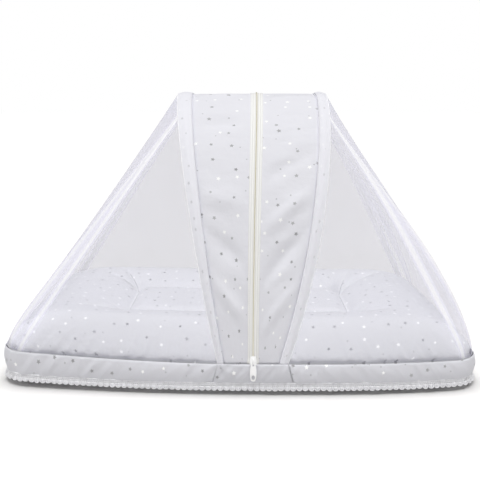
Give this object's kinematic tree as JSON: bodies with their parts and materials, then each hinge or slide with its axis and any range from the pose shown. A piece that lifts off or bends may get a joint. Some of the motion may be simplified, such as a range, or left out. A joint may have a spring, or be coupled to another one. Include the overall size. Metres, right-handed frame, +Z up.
{
  "type": "baby mosquito net canopy with mattress and hoops",
  "caption": "Closed canopy of sheer net and star-print cotton over a puffed mattress, held up by sleeved hoops, with a zip over the top and a lace edge.",
  "frame": {"origin": "middle of the floor under the whole part", "axes": "+X along the mattress, with the zip a little right of the middle; -Y is the front that the picture shows, where the zip's pull hangs; +Z up"},
  "size_m": [1.026, 0.6824, 0.619],
  "materials": {
    "star_cotton": "matt woven cotton, pale grey, small printed stars in white and grey",
    "net": "sheer fine tulle, cool white",
    "sleeve_cloth": "net over star cotton, pale, matt",
    "lace": "white cotton lace with scalloped edge",
    "hoop_rod": "plain round rod",
    "zip_tape": "woven tape, off-white",
    "zip_coil": "nylon coil, cream",
    "zip_metal": "white enamelled metal"
  },
  "bodies": {
    "root": {"mattress_pad": "star_cotton", "border_front_centre": "star_cotton", "border_back_centre": "star_cotton", "border_left": "star_cotton", "border_right": "star_cotton", "lace_trim": "lace", "net_left": "net", "net_right": "net", "sleeve_left": "sleeve_cloth", "sleeve_right": "sleeve_cloth", "hoop_left": "hoop_rod", "hoop_right": "hoop_rod", "panel_left": "star_cotton", "panel_right": "star_cotton", "zip_tape_left": "zip_tape", "zip_tape_right": "zip_tape", "zip_coil": "zip_coil", "zip_slider": "zip_metal", "zip_pull": "zip_metal"}
  },
  "joints": []
}
